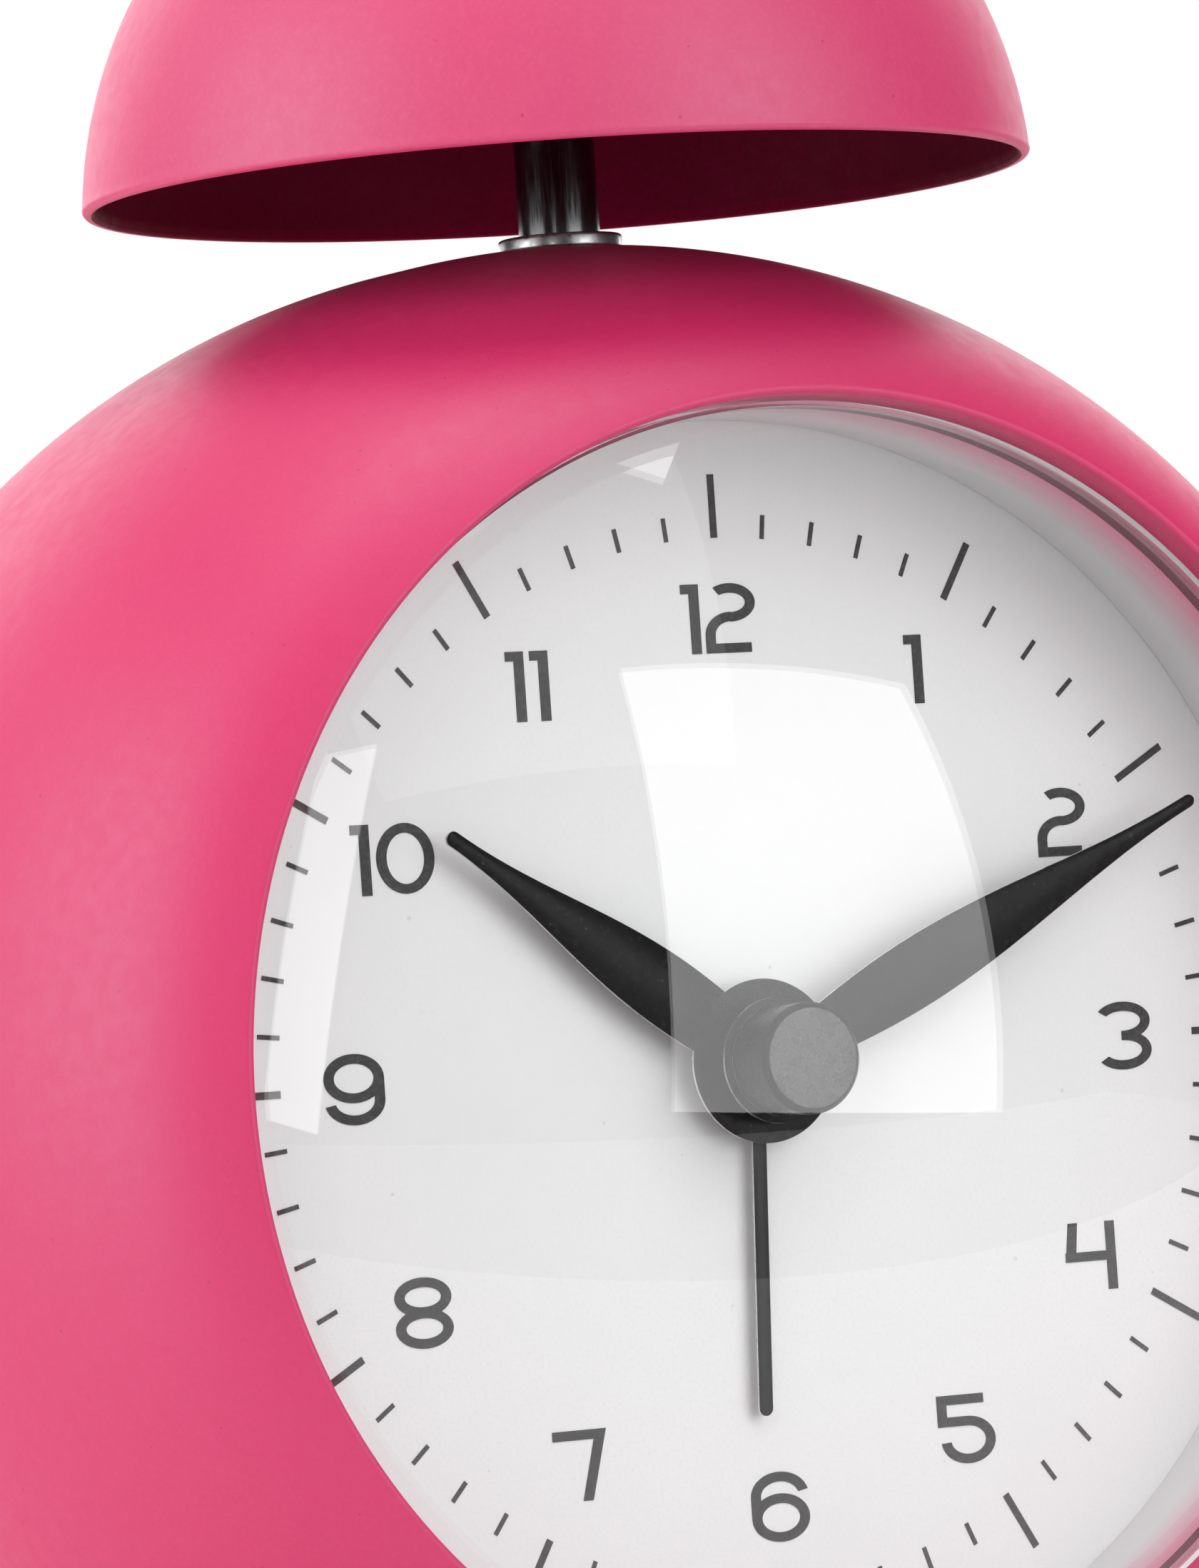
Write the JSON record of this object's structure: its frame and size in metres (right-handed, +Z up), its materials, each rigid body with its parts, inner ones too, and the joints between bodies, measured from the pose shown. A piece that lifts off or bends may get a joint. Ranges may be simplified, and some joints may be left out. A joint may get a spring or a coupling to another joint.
{
  "type": "alarm clock",
  "caption": "Round battery alarm clock with a ball-shaped matte pink case, pale dial under a domed lens, black hands and a matching bell on a post.",
  "frame": {"origin": "centre of the resting face under the case", "axes": "+Z up along the bell post, -Y out of the dial towards the reader, +X to the right as the dial is read"},
  "size_m": [0.11, 0.0929, 0.1403],
  "materials": {
    "lacquer": "matte",
    "bell_lacquer": "matte",
    "back_plastic": "matte",
    "crystal": "polished",
    "ring_plastic": "satin",
    "dial_paint": "matte",
    "ink": "matte",
    "hand_black": "gloss",
    "black_plastic": "satin",
    "grey_plastic": "matte",
    "gear_plastic": "satin",
    "brass": "satin",
    "zinc_steel": "satin",
    "dark_chrome": "polished",
    "board": "satin",
    "copper": "satin",
    "rubber": "matte",
    "cell_wrap": "gloss"
  },
  "bodies": {
    "clock": {"case_shell": "lacquer", "lens": "crystal", "dial_ring": "ring_plastic", "dial_plate": "dial_paint", "dial_print": "ink", "dial_carrier": "grey_plastic", "wheel_pins": "zinc_steel", "movement_front": "grey_plastic", "movement_back": "grey_plastic", "movement_screws": "zinc_steel", "circuit_board": "board", "coil": "copper", "stator": "zinc_steel", "alarm_contact": "brass", "rear_cover": "back_plastic", "cover_screws": "zinc_steel", "battery": "cell_wrap", "battery_contact": "zinc_steel", "battery_spring": "zinc_steel", "switch_base": "black_plastic", "base_pad": "rubber", "post_collar": "zinc_steel", "bell_post": "dark_chrome", "post_washer": "zinc_steel", "post_nut": "zinc_steel", "bell": "bell_lacquer", "bell_boss": "zinc_steel", "striker_plate": "zinc_steel", "striker_nut": "zinc_steel", "striker_motor": "zinc_steel", "hammer_pin": "zinc_steel"},
    "hour_hand_set": {"hour_hand": "hand_black", "hour_wheel": "gear_plastic"},
    "minute_hand_set": {"minute_hand": "hand_black", "hand_cap": "hand_black", "minute_arbor": "brass", "centre_wheel": "gear_plastic"},
    "alarm_hand_set": {"alarm_hand": "hand_black", "alarm_wheel": "gear_plastic"},
    "minute_wheel": {"minute_wheel": "gear_plastic"},
    "third_wheel": {"third_wheel": "gear_plastic"},
    "seconds_wheel": {"seconds_wheel": "gear_plastic"},
    "rotor": {"rotor": "black_plastic"},
    "alarm_idler": {"alarm_idler": "gear_plastic"},
    "time_knob": {"time_set_shaft": "gear_plastic", "time_set_knob": "black_plastic"},
    "alarm_knob": {"alarm_set_shaft": "gear_plastic", "alarm_set_knob": "black_plastic"},
    "battery_door": {"battery_door": "back_plastic"},
    "alarm_switch": {"alarm_switch": "black_plastic"},
    "striker_cam": {"striker_cam": "gear_plastic"},
    "hammer": {"hammer_arm": "zinc_steel", "hammer_head": "brass"}
  },
  "joints": [
    {"name": "minute_turn", "type": "hinge", "parent": "clock", "child": "minute_hand_set", "pos_m": [0, -0.015, 0.0513], "axis": [0, 1, 0], "continuous": true},
    {"name": "hour_turn", "type": "hinge", "parent": "clock", "child": "hour_hand_set", "pos_m": [0, -0.018, 0.0513], "axis": [0, 1, 0], "continuous": true},
    {"name": "minute_wheel_turn", "type": "hinge", "parent": "clock", "child": "minute_wheel", "pos_m": [-0.00848, -0.013, 0.05978], "axis": [0, 1, 0], "continuous": true},
    {"name": "third_wheel_turn", "type": "hinge", "parent": "clock", "child": "third_wheel", "pos_m": [0, -0.0095, 0.0394], "axis": [0, 1, 0], "continuous": true},
    {"name": "seconds_wheel_turn", "type": "hinge", "parent": "clock", "child": "seconds_wheel", "pos_m": [0.0108, -0.008, 0.0394], "axis": [0, 1, 0], "continuous": true},
    {"name": "time_knob_turn", "type": "hinge", "parent": "clock", "child": "time_knob", "pos_m": [-0.01697, 0.015, 0.06827], "axis": [0, 1, 0], "continuous": true},
    {"name": "alarm_turn", "type": "hinge", "parent": "clock", "child": "alarm_hand_set", "pos_m": [0, -0.018, 0.0513], "axis": [0, 1, 0], "continuous": true},
    {"name": "alarm_idler_turn", "type": "hinge", "parent": "clock", "child": "alarm_idler", "pos_m": [0.01103, -0.0158, 0.06233], "axis": [0, 1, 0], "continuous": true},
    {"name": "alarm_knob_turn", "type": "hinge", "parent": "clock", "child": "alarm_knob", "pos_m": [0.01697, 0.015, 0.06827], "axis": [0, 1, 0], "continuous": true},
    {"name": "rotor_turn", "type": "hinge", "parent": "clock", "child": "rotor", "pos_m": [0.0172, -0.006, 0.033], "axis": [0, 1, 0], "continuous": true},
    {"name": "door_swing", "type": "hinge", "parent": "clock", "child": "battery_door", "pos_m": [0, 0.0372, 0.0297], "axis": [-1, 0, 0], "range_deg": [0, 95]},
    {"name": "switch_slide", "type": "slide", "parent": "clock", "child": "alarm_switch", "axis": [1, 0, 0], "range_m": [0, 0.005]},
    {"name": "cam_turn", "type": "hinge", "parent": "clock", "child": "striker_cam", "pos_m": [-0.002, -0.0148, 0.1285], "axis": [0, 0, 1], "continuous": true},
    {"name": "hammer_swing", "type": "hinge", "parent": "clock", "child": "hammer", "pos_m": [-0.011, -0.0063, 0.1258], "axis": [0, 0, 1], "range_deg": [0, 6]}
  ],
  "couplings": [
    {"joint": "hour_turn", "follows": "minute_turn", "ratio": 0.083333},
    {"joint": "minute_wheel_turn", "follows": "minute_turn", "ratio": -0.33333},
    {"joint": "third_wheel_turn", "follows": "minute_turn", "ratio": -7.5},
    {"joint": "seconds_wheel_turn", "follows": "minute_turn", "ratio": 60},
    {"joint": "time_knob_turn", "follows": "minute_turn", "ratio": 1},
    {"joint": "alarm_idler_turn", "follows": "alarm_turn", "ratio": -1.6},
    {"joint": "alarm_knob_turn", "follows": "alarm_turn", "ratio": 4}
  ]
}
